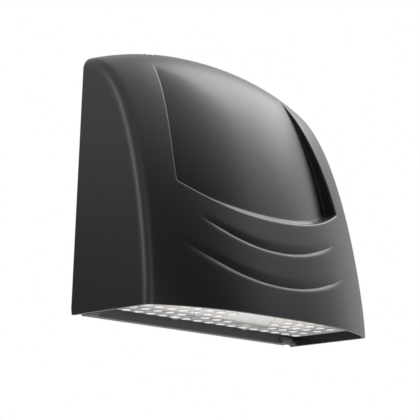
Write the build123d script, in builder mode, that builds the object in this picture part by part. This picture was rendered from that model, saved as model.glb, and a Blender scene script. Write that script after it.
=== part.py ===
from build123d import *
import os
from math import radians, tan

# Wall pack light: a cast hood hinged at the foot of a back plate that stays on the wall.
# X is the width, -Y the front and Z up. The wall is the plane y = 0 and the origin is the
# centre of the wall fixing pattern. A name ending in _up is a height above the lower edge.

# hood form
width = 256.0            # across the lower edge
side_depth = 83.0        # of a side panel along the lower edge
nose = 26.0              # how far the middle stands in front of the side panels
nose_power = 3.06        # fullness of the plan curve
side_height = 201.0      # of a side panel at the wall
crown = 25.0             # how far the middle rises above the side panels
crown_power = 2.1        # fullness of the crown curve
upright = 0.144          # length of the profile's upright handle, as a share of the height
shoulder = 0.692         # length of its level handle, as a share of the depth
side_draft = 2.54        # lean of the side panels, degrees
edge_radius = 12.0       # between side panel and front
wall = 3.0               # casting thickness
fixing_up = 110.0        # fixing pattern above the lower edge
rear_gap = 2.0           # hood stands off the wall
low = -fixing_up
spare = 2.0              # how far the forming solids run past the ends that are cut
reach = 300.0            # longer than anything that is cut

# panel recess in the front and the two scallops below it
panel_middle_step = 2.5  # depth of the panel at the middle
panel_side_step = 18.0   # and at its side edges
panel_step_power = 2.2
panel_top_rise = 5.0     # lifts the panel so that it runs out into the crown
panel_half = 94.0        # to the side lip, low down
panel_mid_half = 88.5
panel_top_half = 66.0
panel_corner_up = 97.0
panel_mid_up = 150.0
panel_top_up = 232.0
panel_foot_up = 78.8     # lower lip at the middle
panel_foot_quarter = (56.0, 85.0)
panel_corner_radius = 5.0
scallop_depth = 1.6
scallops = [  # tip x, tip up, quarter x, quarter up, lower line up, band height
    (78.0, 70.5, 42.0, 57.0, 52.0, 6.5),
    (98.0, 48.0, 57.0, 32.0, 24.2, 6.5),
]

# back plate and seals
base = 4.0               # plate thickness
seal_gap = 1.5           # plate to the inside of the hood
rim_depth = 7.0
rim = 3.5
foot_gap = 0.5           # plate to the lower edge plane
foot_band = 18.5         # height of the plate's solid foot
gasket = 1.5
gasket_width = 4.0
free = 0.3               # between parts of different bodies
wall_gasket_depth = 1.5
wall_gasket_width = 5.0
wall_gasket_inset = 5.0
box_pitch = 88.9         # outlet box screws
slot_length = 12.0
slot_width = 5.2
anchor_hole = 6.5
anchors = [(-92.0, -72.0), (92.0, -72.0), (-82.0, 62.0), (82.0, 62.0)]
entry_bore = 22.2        # wire entry
entry_collar = 30.0
entry_collar_depth = 9.0

# hinge
hinge_y = -7.0
hinge_up = 4.2
pin_diameter = 4.0
pin_fit = 0.05           # radial
pin_inner = 106.0
pin_outer = 123.0
knuckle_radius = 3.7
knuckle_outer = 116.2
ear_radius = 4.0
ear_inner = 116.6
notch_up = 11.0

# closing screws
closing_x = 60.0
closing_y = -14.0
closing_shank = 5.0
closing_head = 8.5
closing_head_height = 5.0
closing_pocket = 10.0
closing_pocket_up = 211.5
closing_boss = 16.0      # width of boss and lug
closing_boss_up = 189.0
closing_tip_up = 175.0
closing_hex = 4.0
lug_low_up = 172.0
lug_high_up = 186.0
lug_front = 21.0
slot_fit = 0.3
seal_ring = 1.2

# heat sink tray
deck_up = 14.0
deck = 4.0
deck_gap = 0.4           # around the deck, inside the hood
flange = 3.0             # hood's sealing flange thickness
fin = 2.0
fin_height = 14.0
fin_pitch = 12.0
fin_count = 17
fin_back = 70.0
fin_front = 93.0
tray_screws_at = [(-117.5, -40.0), (117.5, -40.0), (-112.0, -74.0), (112.0, -74.0)]
tray_boss = 9.0
tray_boss_up = 40.0
tray_shank = 4.0
tray_head = 7.6
tray_head_height = 2.2
tray_screw_length = 16.0

# light engine
board = 1.6
board_inset = 6.5
led = 3.0
led_height = 0.8
led_pitch = 13.3
row_pitch = 14.8
first_row = 18.2         # rear row of lights behind the wall plane
row_ends = [113.1, 107.0, 107.0, 107.0, 80.0]
lens_up = 8.4
lens = 2.2
lens_inset = 2.5         # inside the hood
lens_rear = 12.0
lens_rib = 3.0           # width of the lens gasket
dome_radius = 4.7
dome_height = 2.6
blank_x = (-7.0, 47.0)   # bare field between the rows of lights
blank_second_row = (20.0, 60.0)
ears_at = [-100.0, -25.0, 57.0]
lens_ear = 4.2
lens_ear_y = -12.2
lens_ear_screw = 1.4     # screw behind the middle of the ear
lens_front_screws = [(-60.0, -95.0), (60.0, -95.0)]
lens_middle_screw = (-26.6, -36.0)
lens_shank = 3.0
lens_head = 5.0
lens_head_height = 1.8

# control gear
driver_size = (150.0, 42.0, 30.0)
driver_x = -20.0
driver_y = -45.0
driver_tab = 11.0
driver_tab_thickness = 2.0
driver_round = 2.5
gear_shank = 4.0
gear_head = 7.0
gear_head_height = 2.4
surge_size = (38.0, 28.0, 22.0)
surge_x = 92.0
surge_y = -38.0
lead = 2.4
lead_bend = 5.0
lead_spacing = 5.0
lead_hole = 4.0
terminal_size = (42.0, 14.0, 17.0)
terminal_up = 68.0
terminal_poles = 3
terminal_pitch = 13.0
terminal_screw = 4.5
socket_size = (24.0, 16.0, 14.0)
socket_x = -84.0
socket_up = 106.0
plug_depth = 14.0
plug_out = 8.0           # straight lead out of the plug
ground_x = 66.0
ground_up = 68.0
ground_boss = 9.0
ground_boss_depth = 3.0

stations = [width * share for share in (-0.53, -0.4, -0.27, -0.135, 0, 0.135, 0.27, 0.4, 0.53)]
os.makedirs("parts", exist_ok=True)


def depth_at(x):
    return side_depth + nose * (1 - abs(2 * x / width) ** nose_power)


def height_at(x):
    return side_height + crown * (1 - abs(2 * x / width) ** crown_power)


def panel_step(x):
    share = abs(x / panel_half) ** panel_step_power
    return panel_middle_step + (panel_side_step - panel_middle_step) * share


def curved_solid(depth_of, height_of):
    """Solid behind a front that is upright at the lower edge and level at the wall."""
    with BuildPart(mode=Mode.PRIVATE) as solid:
        for x in stations:
            depth = depth_of(x)
            height = height_of(x)
            top = low + height
            with BuildSketch(Plane.YZ.offset(x)):
                with BuildLine():
                    Bezier((-depth, low), (-depth, low + upright * height), (-shoulder * depth, top), (0, top))
                    Polyline((0, top), (spare, top), (spare, low - spare), (-depth, low - spare), (-depth, low))
                make_face()
        loft()
    return solid.part


def slab(x_range, y_range, up_range):
    """Plain block between two corners, heights above the lower edge."""
    size = [b - a for a, b in (x_range, y_range, up_range)]
    middle = [(a + b) / 2 for a, b in (x_range, y_range, up_range)]
    return Pos(middle[0], middle[1], low + middle[2]) * Box(*size, mode=Mode.PRIVATE)


def hood_form(inset):
    """The whole hood as one solid, drawn in by inset all round."""
    half_foot = width / 2 - inset + spare * tan(radians(side_draft))
    tall = side_height + crown + 2 * spare
    half_top = half_foot - tall * tan(radians(side_draft))
    curved = curved_solid(lambda x: depth_at(x) - inset, lambda x: height_at(x) - inset)
    with BuildPart(mode=Mode.PRIVATE) as form:
        add(curved)
        with BuildSketch(Plane.XZ.offset(-2 * spare)):
            with BuildLine():
                Polyline(
                    (-half_foot, low - spare), (half_foot, low - spare),
                    (half_top, low - spare + tall), (-half_top, low - spare + tall), close=True,
                )
            make_face()
        extrude(amount=reach, mode=Mode.INTERSECT)
        sides = form.faces().sort_by(Axis.X)
        corners = [
            edge for side in (sides[0], sides[-1]) for edge in side.edges()
            if edge.center().Z > low - spare + free and edge.center().Y < spare - free
        ]
        fillet(corners, max(edge_radius - inset, edge_radius / 4))
    return form.part


def panel_tool(grow, inset):
    """Everything in front of the panel floor, inside the panel outline."""
    floor = curved_solid(
        lambda x: depth_at(x) - panel_step(x) - inset,
        lambda x: height_at(x) + panel_top_rise - inset,
    )
    quarter_x, quarter_up = panel_foot_quarter
    corner = (panel_half + grow, low + panel_corner_up - grow)
    top = (panel_top_half + grow, low + panel_top_up + grow)
    with BuildPart(mode=Mode.PRIVATE) as tool:
        with BuildSketch(Plane.XZ):
            with BuildLine():
                Spline(
                    (-corner[0], corner[1]), (-quarter_x, low + quarter_up - grow),
                    (0, low + panel_foot_up - grow), (quarter_x, low + quarter_up - grow), corner,
                )
                ThreePointArc(corner, (panel_mid_half + grow, low + panel_mid_up), top)
                Line(top, (-top[0], top[1]))
                ThreePointArc((-top[0], top[1]), (-panel_mid_half - grow, low + panel_mid_up), (-corner[0], corner[1]))
            outline = make_face()
            corners = outline.vertices().filter_by(lambda v: abs(v.Y - corner[1]) < spare / 2)
            fillet(corners, panel_corner_radius + grow)
        extrude(amount=reach)
        add(floor, mode=Mode.SUBTRACT)
    return tool.part


def scallop_tool():
    """Two crescents, each as deep as a scallop, in front of the hood form."""
    with BuildPart(mode=Mode.PRIVATE) as tool:
        with BuildSketch(Plane.XZ):
            for tip_x, tip_up, quarter_x, quarter_up, line_up, band in scallops:
                with BuildLine():
                    for lift in (0, band):
                        Spline(
                            (-tip_x, low + tip_up), (-quarter_x, low + quarter_up + 0.8 * lift),
                            (0, low + line_up + lift), (quarter_x, low + quarter_up + 0.8 * lift),
                            (tip_x, low + tip_up),
                        )
                make_face()
        extrude(amount=reach)
        add(hood_form(scallop_depth), mode=Mode.SUBTRACT)
    return tool.part


def pin_along_x(radius, x_range, y, up):
    length = x_range[1] - x_range[0]
    place = Pos((x_range[0] + x_range[1]) / 2, y, low + up)
    return place * Cylinder(radius, length, rotation=(0, 90, 0), mode=Mode.PRIVATE)


def upright_round(radius, x, y, up_range):
    length = up_range[1] - up_range[0]
    return Pos(x, y, low + (up_range[0] + up_range[1]) / 2) * Cylinder(radius, length, mode=Mode.PRIVATE)


def forward_round(radius, x, z, y_range):
    length = y_range[1] - y_range[0]
    return Pos(x, (y_range[0] + y_range[1]) / 2, z) * Cylinder(radius, length, rotation=(90, 0, 0), mode=Mode.PRIVATE)


def screw_up(x, y, seat_up, shank, head, head_height, length):
    """Pan head screw driven upwards, its head under seat_up."""
    body = upright_round(shank / 2, x, y, (seat_up - head_height / 2, seat_up + length))
    cap = upright_round(head / 2, x, y, (seat_up - head_height, seat_up))
    slot = slab((x - head / 2, x + head / 2), (y - 0.4, y + 0.4), (seat_up - head_height, seat_up - 0.7 * head_height))
    return body + cap - slot


def save(block, name):
    block.part.label = name
    export_step(block.part, f"parts/{name}.step")


everywhere = (-reach, reach)
above_foot = (0, reach)
outer_form = hood_form(0)
inner_form = hood_form(wall)

# front housing
flange_back = -(rim_depth + gasket + free)
flange_y = (flange_back - flange, flange_back)
seal_inset = wall + seal_gap
flange_ring = (hood_form(wall / 2) - hood_form(seal_inset + gasket_width)) & slab(
    everywhere, flange_y, (deck_up + deck + free, reach)
)
boss_ends = [(side * (closing_x - closing_boss / 2), side * (closing_x + closing_boss / 2)) for side in (-1, 1)]
boss_spans = [tuple(sorted(ends)) for ends in boss_ends]
closing_bosses = [
    slab(span, (-lug_front, flange_back), (closing_boss_up, reach)) & hood_form(wall / 2) for span in boss_spans
]
pivot = (hinge_y, hinge_up)

with BuildPart() as front_housing:
    add(outer_form)
    add(inner_form - panel_tool(wall, wall), mode=Mode.SUBTRACT)
    add(panel_tool(0, 0), mode=Mode.SUBTRACT)
    add(scallop_tool(), mode=Mode.SUBTRACT)
    add(slab(everywhere, (-reach, -rear_gap), above_foot), mode=Mode.INTERSECT)
    add(flange_ring)
    add(closing_bosses)
    for x, y in tray_screws_at:
        side = 1 if x > 0 else -1
        span = tuple(sorted((x - side * tray_boss / 2, side * (width / 2 - wall))))
        add(slab(span, (y - tray_boss / 2, y + tray_boss / 2), (deck_up + deck, tray_boss_up)))
        add(upright_round(tray_shank / 2, x, y, (deck_up, tray_boss_up - wall)), mode=Mode.SUBTRACT)
    for side in (-1, 1):
        ear = tuple(sorted((side * ear_inner, side * (width / 2 - wall / 2))))
        bore = tuple(sorted((side * pin_inner, side * (pin_outer + free))))
        add(pin_along_x(ear_radius, ear, *pivot))
        add(pin_along_x(pin_diameter / 2 + pin_fit, bore, *pivot), mode=Mode.SUBTRACT)
        x = side * closing_x
        add(upright_round(closing_shank / 2 + free, x, closing_y, (closing_boss_up - 1, reach)), mode=Mode.SUBTRACT)
        add(upright_round(closing_pocket / 2, x, closing_y, (closing_pocket_up, reach)), mode=Mode.SUBTRACT)
save(front_housing, "front_housing")

# back plate
plate_form = hood_form(seal_inset)
plate_inside = hood_form(seal_inset + rim)
with BuildPart() as back_plate:
    add(plate_form & slab(everywhere, (-rim_depth, 0), (foot_gap, reach)))
    add(plate_inside & slab(everywhere, (-reach, -base), (foot_band, reach)), mode=Mode.SUBTRACT)
    for side, span in zip((-1, 1), boss_spans):
        notch = tuple(sorted((side * (knuckle_outer + 0.1), side * width)))
        knuckle = tuple(sorted((side * pin_inner, side * knuckle_outer)))
        pin_hole = tuple(sorted((side * (pin_inner - 1), side * pin_outer)))
        add(slab(notch, (-reach, spare), (0, notch_up)), mode=Mode.SUBTRACT)
        add(pin_along_x(knuckle_radius, knuckle, *pivot))
        add(pin_along_x(pin_diameter / 2 + pin_fit, pin_hole, *pivot), mode=Mode.SUBTRACT)
        add(slab(span, (-lug_front, -base / 2), (lug_low_up, lug_high_up)))
        slot_half = closing_shank / 2 + slot_fit
        x = side * closing_x
        add(upright_round(slot_half, x, closing_y, (lug_low_up - 1, lug_high_up + 1)), mode=Mode.SUBTRACT)
        lug_slot = slab((x - slot_half, x + slot_half), (-reach, closing_y), (lug_low_up - 1, lug_high_up + 1))
        add(lug_slot, mode=Mode.SUBTRACT)
        with BuildSketch(Plane.XZ.offset(-spare)):
            with Locations((side * box_pitch / 2, 0)):
                SlotOverall(slot_length, slot_width)
        extrude(amount=base + 2 * spare, mode=Mode.SUBTRACT)
    for x, z in anchors:
        add(forward_round(anchor_hole / 2, x, z, (-base - 1, spare)), mode=Mode.SUBTRACT)
    add(forward_round(entry_collar / 2, 0, 0, (-entry_collar_depth, -base / 2)))
    add(forward_round(ground_boss / 2, ground_x, low + ground_up, (-base - ground_boss_depth, -base / 2)))
    add(forward_round(entry_bore / 2, 0, 0, (-entry_collar_depth - 1, spare)), mode=Mode.SUBTRACT)
    ground_hole = (-base - ground_boss_depth - 1, -base / 2)
    add(forward_round(gear_shank / 2, ground_x, low + ground_up, ground_hole), mode=Mode.SUBTRACT)
    wall_ring_outer = hood_form(seal_inset + wall_gasket_inset)
    wall_ring = wall_ring_outer - hood_form(seal_inset + wall_gasket_inset + wall_gasket_width)
    add(wall_ring & slab(everywhere, (-wall_gasket_depth, spare), (foot_band, reach)), mode=Mode.SUBTRACT)
save(back_plate, "back_plate")

with BuildPart() as wall_gasket:
    add(wall_ring & slab(everywhere, (-wall_gasket_depth, 0), (foot_band, reach)))
save(wall_gasket, "wall_gasket")

with BuildPart() as housing_gasket:
    gasket_y = (-rim_depth - gasket, -rim_depth)
    ring = plate_form - hood_form(seal_inset + gasket_width)
    add(ring & slab(everywhere, gasket_y, (deck_up - free, reach)))
    bar_half = width / 2 - seal_inset - gasket_width / 2
    add(slab((-bar_half, bar_half), gasket_y, (deck_up - free, deck_up + deck + free)))
save(housing_gasket, "housing_gasket")

with BuildPart() as hinge_pins:
    for side in (-1, 1):
        span = tuple(sorted((side * pin_inner, side * pin_outer)))
        add(pin_along_x(pin_diameter / 2, span, *pivot))
save(hinge_pins, "hinge_pins")

with BuildPart() as wire_grommet:
    lip = 2.0
    add(forward_round(entry_bore / 2, 0, 0, (-entry_collar_depth, 0)))
    add(forward_round(entry_collar / 2 - 1, 0, 0, (-entry_collar_depth - lip, -entry_collar_depth)))
    add(forward_round(entry_bore / 4, 0, 0, (-entry_collar_depth - lip, 0)), mode=Mode.SUBTRACT)
save(wire_grommet, "wire_grommet")

with BuildPart() as ground_screw:
    head_y = -base - ground_boss_depth
    z = low + ground_up
    add(forward_round(gear_shank / 2, ground_x, z, (head_y, -base / 2)))
    add(forward_round(gear_head / 2, ground_x, z, (head_y - gear_head_height, head_y)))
    groove = Pos(ground_x, head_y - gear_head_height, z) * Box(gear_head, 1.6, 0.9, mode=Mode.PRIVATE)
    add(groove, mode=Mode.SUBTRACT)
save(ground_screw, "ground_screw")

terminal_front = -base - terminal_size[1]
pole_x = [terminal_pitch * (i - (terminal_poles - 1) / 2) for i in range(terminal_poles)]
with BuildPart() as terminal_block:
    terminal_half = terminal_size[0] / 2
    terminal_z = (terminal_up - terminal_size[2] / 2, terminal_up + terminal_size[2] / 2)
    add(slab((-terminal_half, terminal_half), (terminal_front, -base), terminal_z))
    for x in pole_x:
        well = forward_round(terminal_screw / 2 + pin_fit, x, low + terminal_up, (terminal_front - 1, -base - 4))
        add(well, mode=Mode.SUBTRACT)
        mouth = slab((x - 3, x + 3), (terminal_front + 4, terminal_front + 9), (terminal_z[1] - 4, terminal_z[1] + 1))
        add(mouth, mode=Mode.SUBTRACT)
save(terminal_block, "terminal_block")

with BuildPart() as terminal_screws:
    for x in pole_x:
        add(forward_round(terminal_screw / 2, x, low + terminal_up, (terminal_front + 1.5, -base - 4)))
        cut = Pos(x, terminal_front + 1.5, low + terminal_up) * Box(terminal_screw, 1.6, 0.8, mode=Mode.PRIVATE)
        add(cut, mode=Mode.SUBTRACT)
save(terminal_screws, "terminal_screws")

socket_half = [size / 2 for size in socket_size]
socket_front = -base - socket_size[1]
socket_z = (socket_up - socket_half[2], socket_up + socket_half[2])
with BuildPart() as quick_socket:
    add(slab((socket_x - socket_half[0], socket_x + socket_half[0]), (socket_front, -base), socket_z))
    fillet(quick_socket.edges().filter_by(Axis.Y), 2)
save(quick_socket, "quick_socket")

# leads between terminal block and socket, laid along the plate
lead_y = -base - lead / 2 - pin_fit
with BuildPart() as plate_leads:
    for i, x in enumerate(pole_x):
        level = low + terminal_z[1] + 4 + i * (lead + 1.6)
        up_x = socket_x + (i - 1) * lead_spacing
        route = [
            (x, lead_y, low + terminal_z[1]), (x, lead_y, level), (up_x, lead_y, level), (up_x, lead_y, low + socket_z[0]),
        ]
        with BuildLine() as path:
            FilletPolyline(*route, radius=lead)
        with BuildSketch(Plane(route[0], z_dir=(0, 0, 1))) as section:
            Circle(lead / 2)
        sweep(sections=section.sketch, path=path.line)
save(plate_leads, "plate_leads")

# heat sink tray
with BuildPart() as heat_sink_tray:
    add(hood_form(wall + deck_gap) & slab(everywhere, (-reach, flange_back), (deck_up, deck_up + deck)))
    fin_room = hood_form(wall + 2 * deck)
    for i in range(fin_count):
        x = fin_pitch * (i - (fin_count - 1) / 2)
        blade = slab((x - fin / 2, x + fin / 2), (-fin_front, -fin_back), (deck_up + deck / 2, deck_up + deck + fin_height))
        add(blade & fin_room)
    for x, y in tray_screws_at:
        add(upright_round(tray_shank / 2 + free, x, y, (deck_up - 1, deck_up + deck + 1)), mode=Mode.SUBTRACT)
        sink = (deck_up - 1, deck_up + tray_head_height)
        add(upright_round(tray_head / 2 + free, x, y, sink), mode=Mode.SUBTRACT)
    lens_fixings = [(x, lens_ear_y + lens_ear_screw) for x in ears_at] + lens_front_screws + [lens_middle_screw]
    for x, y in lens_fixings:
        add(upright_round(lens_shank / 2, x, y, (deck_up - 1, deck_up + deck - 0.5)), mode=Mode.SUBTRACT)
    lead_x = driver_x + driver_size[0] / 2 + 12
    lead_rows = [driver_y - lead_spacing / 2, driver_y + lead_spacing / 2]
    for y in lead_rows:
        add(upright_round(lead_hole / 2, lead_x, y, (deck_up - 1, deck_up + deck + 1)), mode=Mode.SUBTRACT)
    gear_holes = [(driver_x + side * (driver_size[0] + driver_tab) / 2, driver_y + 12) for side in (-1, 1)]
    for x, y in gear_holes:
        add(upright_round(gear_shank / 2, x, y, (deck_up + 1, deck_up + deck + 1)), mode=Mode.SUBTRACT)
save(heat_sink_tray, "heat_sink_tray")

with BuildPart() as tray_screws:
    for x, y in tray_screws_at:
        seat = deck_up + tray_head_height
        add(screw_up(x, y, seat, tray_shank, tray_head, tray_head_height, tray_screw_length))
save(tray_screws, "tray_screws")

# lights: the rear row is full, the rows before it are set half a pitch aside and leave a bare field
lights = []
for row, row_end in enumerate(row_ends):
    y = -first_row - row * row_pitch
    shift = 0.5 if row == 0 else 0.0
    for step in range(-9, 10):
        x = led_pitch * (step + shift)
        gap = blank_second_row if row == 1 else blank_x
        in_blank = 0 < row < 4 and gap[0] < x < gap[1]
        by_screw = row > 0 and abs(x - lens_middle_screw[0]) < led and abs(y - lens_middle_screw[1]) < dome_radius
        if abs(x) <= row_end and not in_blank and not by_screw:
            lights.append((x, y))

board_top = deck_up
board_low = deck_up - board
lens_top = lens_up + lens
with BuildPart() as led_board:
    board_form = hood_form(wall + board_inset)
    add(board_form & slab(everywhere, (-reach, -lens_rear - lens_rib - free), (board_low, board_top)))
    for x, y in tray_screws_at:
        add(upright_round(tray_head / 2 + 1, x, y, (board_low - 1, board_top + 1)), mode=Mode.SUBTRACT)
    for x, y in lens_front_screws + [lens_middle_screw]:
        add(upright_round(lens_shank / 2 + free, x, y, (board_low - 1, board_top + 1)), mode=Mode.SUBTRACT)
save(led_board, "led_board")

with BuildPart() as led_chips:
    for x, y in lights:
        chip = ((x - led / 2, x + led / 2), (y - led / 2, y + led / 2), (board_low - led_height, board_low))
        add(slab(*chip))
save(led_chips, "led_chips")

with BuildPart() as lens_plate:
    lens_form = hood_form(wall + lens_inset)
    add(lens_form & slab(everywhere, (-reach, -lens_rear), (lens_up, lens_top)))
    for x in ears_at:
        add(upright_round(lens_ear, x, lens_ear_y, (lens_up, lens_top)))
    # each light shines through a low dome
    ball = (dome_radius ** 2 + dome_height ** 2) / (2 * dome_height)
    below = slab(everywhere, everywhere, (lens_up - dome_height - 1, lens_up + lens / 2))
    for x, y in lights:
        add((Pos(x, y, low + lens_up - dome_height + ball) * Sphere(ball, mode=Mode.PRIVATE)) & below)
    for x, y in lens_fixings:
        add(upright_round(lens_shank / 2 + free, x, y, (lens_up - 1, lens_top + 1)), mode=Mode.SUBTRACT)
save(lens_plate, "lens_plate")

with BuildPart() as lens_gasket:
    seal_up = (lens_top, deck_up)
    inside = hood_form(wall + lens_inset + lens_rib)
    ring = (lens_form - inside) & slab(everywhere, (-reach, -lens_rear), seal_up)
    rear_half = width / 2 - wall - lens_inset - lens_rib / 2
    add(ring)
    add(slab((-rear_half, rear_half), (-lens_rear - lens_rib, -lens_rear), seal_up) & lens_form)
    for x, y in tray_screws_at:
        add(upright_round(tray_head / 2 + free, x, y, (lens_top, deck_up + 1)), mode=Mode.SUBTRACT)
    for x, y in lens_fixings:
        add(upright_round(lens_shank / 2 + free, x, y, (lens_top - 1, deck_up + 1)), mode=Mode.SUBTRACT)
save(lens_gasket, "lens_gasket")

with BuildPart() as lens_screws:
    for x, y in lens_fixings:
        length = deck_up - lens_up + deck - 1
        add(screw_up(x, y, lens_up, lens_shank, lens_head, lens_head_height, length))
save(lens_screws, "lens_screws")

# control gear on the tray
gear_foot = deck_up + deck
driver_half = [size / 2 for size in driver_size]
with BuildPart() as driver:
    span_x = (driver_x - driver_half[0], driver_x + driver_half[0])
    span_y = (driver_y - driver_half[1], driver_y + driver_half[1])
    add(slab(span_x, span_y, (gear_foot, gear_foot + driver_size[2])))
    fillet(driver.edges().filter_by(Axis.X), driver_round)
    tabs = (span_x[0] - driver_tab, span_x[1] + driver_tab)
    add(slab(tabs, (driver_y + 5, driver_y + 19), (gear_foot, gear_foot + driver_tab_thickness)))
    for x, y in gear_holes:
        tab_hole = (gear_foot - 1, gear_foot + driver_tab_thickness + 1)
        add(upright_round(gear_shank / 2 + free, x, y, tab_hole), mode=Mode.SUBTRACT)
save(driver, "driver")

with BuildPart() as driver_screws:
    seat = gear_foot + driver_tab_thickness
    for x, y in gear_holes:
        add(upright_round(gear_shank / 2, x, y, (deck_up + 1, seat)))
        add(upright_round(gear_head / 2, x, y, (seat, seat + gear_head_height)))
        cut = slab((x - gear_head / 2, x + gear_head / 2), (y - 0.45, y + 0.45), (seat + 1.6, seat + gear_head_height))
        add(cut, mode=Mode.SUBTRACT)
save(driver_screws, "driver_screws")

surge_half = [size / 2 for size in surge_size]
with BuildPart() as surge_protector:
    span_x = (surge_x - surge_half[0], surge_x + surge_half[0])
    span_y = (surge_y - surge_half[1], surge_y + surge_half[1])
    add(slab(span_x, span_y, (gear_foot, gear_foot + surge_size[2])))
    fillet(surge_protector.edges().filter_by(Axis.Z), 3)
save(surge_protector, "surge_protector")

# pair of leads from the driver's end, down through the deck to the board
driver_end = driver_x + driver_half[0]
with BuildPart() as led_leads:
    for y in lead_rows:
        route = [
            (driver_end, y, low + gear_foot + 12), (lead_x, y, low + gear_foot + 12), (lead_x, y, low + deck_up),
        ]
        with BuildLine() as path:
            FilletPolyline(*route, radius=lead_bend)
        with BuildSketch(Plane(route[0], z_dir=(1, 0, 0))) as section:
            Circle(lead / 2)
        sweep(sections=section.sketch, path=path.line)
save(led_leads, "led_leads")

# plug that meets the plate's socket when the hood is shut, and its leads to the driver
plug_back = socket_front - free
plug_y = (plug_back - plug_depth, plug_back)
with BuildPart() as quick_plug:
    add(slab((socket_x - socket_half[0], socket_x + socket_half[0]), plug_y, socket_z))
    fillet(quick_plug.edges().filter_by(Axis.Y), 2)
save(quick_plug, "quick_plug")

driver_rear_end = driver_x - driver_half[0]
with BuildPart() as supply_leads:
    for i in range(terminal_poles):
        x = socket_x + (i - 1) * lead_spacing
        out = plug_y[0] - plug_out
        route = [
            (x, plug_y[0], low + socket_up), (x, out, low + socket_up), (x, out, low + gear_foot + driver_size[2]),
        ]
        with BuildLine() as path:
            FilletPolyline(*route, radius=lead_bend)
        with BuildSketch(Plane(route[0], z_dir=(0, -1, 0))) as section:
            Circle(lead / 2)
        sweep(sections=section.sketch, path=path.line)
save(supply_leads, "supply_leads")

# closing screws, held captive in the hood
with BuildPart() as screw_seals:
    for side in (-1, 1):
        ring_up = (closing_pocket_up, closing_pocket_up + seal_ring)
        add(upright_round(closing_pocket / 2 - free, side * closing_x, closing_y, ring_up))
        add(upright_round(closing_shank / 2 + free, side * closing_x, closing_y, (0, reach)), mode=Mode.SUBTRACT)
save(screw_seals, "screw_seals")

for side, name in ((-1, "closing_screw_left"), (1, "closing_screw_right")):
    head_foot = closing_pocket_up + seal_ring + 0.1
    with BuildPart() as closing_screw:
        x = side * closing_x
        add(upright_round(closing_shank / 2, x, closing_y, (closing_tip_up, head_foot)))
        add(upright_round(closing_head / 2, x, closing_y, (head_foot, head_foot + closing_head_height)))
        chamfer(closing_screw.faces().sort_by(Axis.Z)[-1].edges(), 0.5)
        with BuildSketch(Plane.XY.offset(low + head_foot + closing_head_height)):
            with Locations((x, closing_y)):
                RegularPolygon(closing_hex / 2, 6)
        extrude(amount=-closing_head_height / 2, mode=Mode.SUBTRACT)
    save(closing_screw, name)
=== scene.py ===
import math
import bmesh
import bpy
import numpy as np
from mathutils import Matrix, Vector


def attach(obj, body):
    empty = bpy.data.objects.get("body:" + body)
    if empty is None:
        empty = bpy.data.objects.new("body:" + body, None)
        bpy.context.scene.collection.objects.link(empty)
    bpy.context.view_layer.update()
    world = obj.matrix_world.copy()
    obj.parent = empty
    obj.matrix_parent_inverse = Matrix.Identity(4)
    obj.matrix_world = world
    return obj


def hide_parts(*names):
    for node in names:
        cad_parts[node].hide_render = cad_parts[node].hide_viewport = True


# Wall pack light, dressed around its CAD frame. Shapes are worked out in millimetres with
# heights above the lower edge of the hood; toMetres puts them into the frame.
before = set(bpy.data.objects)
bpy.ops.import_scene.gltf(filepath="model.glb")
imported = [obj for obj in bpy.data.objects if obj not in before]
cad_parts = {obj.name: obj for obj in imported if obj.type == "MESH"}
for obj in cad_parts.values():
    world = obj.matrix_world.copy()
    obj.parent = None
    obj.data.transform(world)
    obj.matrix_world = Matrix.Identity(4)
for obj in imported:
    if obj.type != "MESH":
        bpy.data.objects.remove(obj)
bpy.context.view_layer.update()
fixingUp = 110.0    # origin of the frame above the lower edge
print("frame loaded:", len(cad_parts), "nodes")


class Value:
    # A socket that can be used in sums.

    def __init__(self, tree, socket):
        self.tree = tree
        self.socket = socket

    def math(self, operation, other=None):
        inputs = [self.socket] if other is None else [self.socket, plain(other)]
        return self.tree.node("ShaderNodeMath", {"operation": operation}, inputs)

    def __add__(self, other): return self.math("ADD", other)
    def __mul__(self, other): return self.math("MULTIPLY", other)
    def __lt__(self, other): return self.math("LESS_THAN", other)


def plain(thing):
    return thing.socket if isinstance(thing, Value) else thing


class Tree:
    # Node tree of one material or of the world.

    def __init__(self, owner):
        owner.use_nodes = True
        self.nodes = owner.node_tree.nodes
        self.links = owner.node_tree.links
        self.nodes.clear()

    def node(self, kind, settings=None, inputs=(), output=0):
        made = self.nodes.new(kind)
        for key, setting in (settings or {}).items():
            setattr(made, key, setting)
        pairs = inputs.items() if isinstance(inputs, dict) else enumerate(inputs)
        for key, thing in pairs:
            thing = plain(thing)
            if isinstance(thing, bpy.types.NodeSocket):
                self.links.new(thing, made.inputs[key])
            else:
                made.inputs[key].default_value = thing
        return Value(self, made.outputs[output]) if made.outputs else None

    def place(self, scale=1.0):
        # Object coordinates, scaled.
        point = self.node("ShaderNodeTexCoord", output=3)
        return self.node("ShaderNodeVectorMath", {"operation": "SCALE"}, {0: point, 3: scale})

    def noise(self, scale, detail):
        settings = {"Vector": self.place(), "Scale": scale, "Detail": detail, "Roughness": 0.5}
        return self.node("ShaderNodeTexNoise", None, settings)

    def mix(self, factor, low, high):
        return self.node("ShaderNodeMix", {"data_type": "RGBA"}, {0: factor, 6: low, 7: high}, output=2)

    def bump(self, height, strength, distance):
        settings = {"Strength": strength, "Distance": distance, "Height": height}
        return self.node("ShaderNodeBump", None, settings)


def shade(rgb, factor=1.0):
    return tuple(min(1.0, c * factor) for c in rgb) + (1.0,)


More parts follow.
